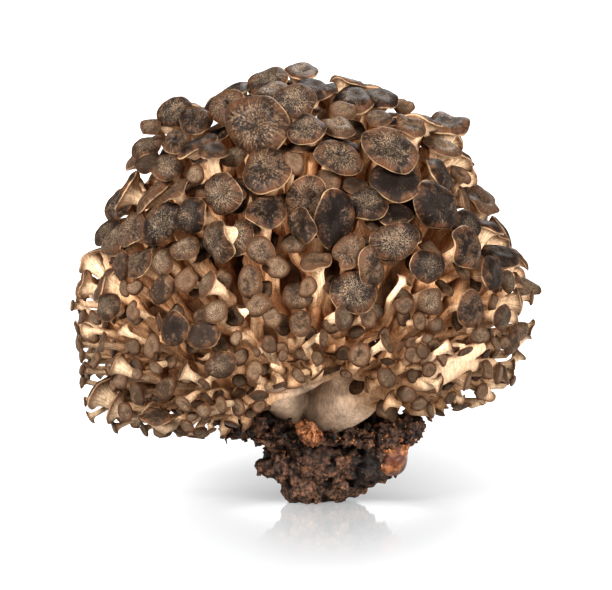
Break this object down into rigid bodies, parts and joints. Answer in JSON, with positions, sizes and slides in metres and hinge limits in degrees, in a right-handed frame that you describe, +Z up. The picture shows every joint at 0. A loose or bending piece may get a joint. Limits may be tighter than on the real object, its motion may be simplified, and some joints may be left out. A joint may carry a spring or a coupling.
{
  "type": "maitake mushroom",
  "caption": "Whole mushroom cluster: a thick trunk forking into a dome of round, dented, stalked caps, standing upright on a clod of soil and rotten wood.",
  "frame": {"origin": "on the flat underside of the clod that the cluster stands on, below the middle of the dome of caps", "axes": "+Z up through the trunk and the dome; +X to the right across the dome's widest span, seen from the front; -Y towards the front, where the bare trunk shows"},
  "size_m": [0.3336, 0.3014, 0.3073],
  "materials": {
    "mushroom_flesh": "matte",
    "cap_skin": "matte",
    "soil_crust": "matte",
    "rotten_wood": "matte"
  },
  "bodies": {
    "root": {"fruiting_body": "mushroom_flesh", "root_clod": "soil_crust", "rotten_wood_right": "rotten_wood", "rotten_wood_front": "rotten_wood"}
  },
  "joints": []
}
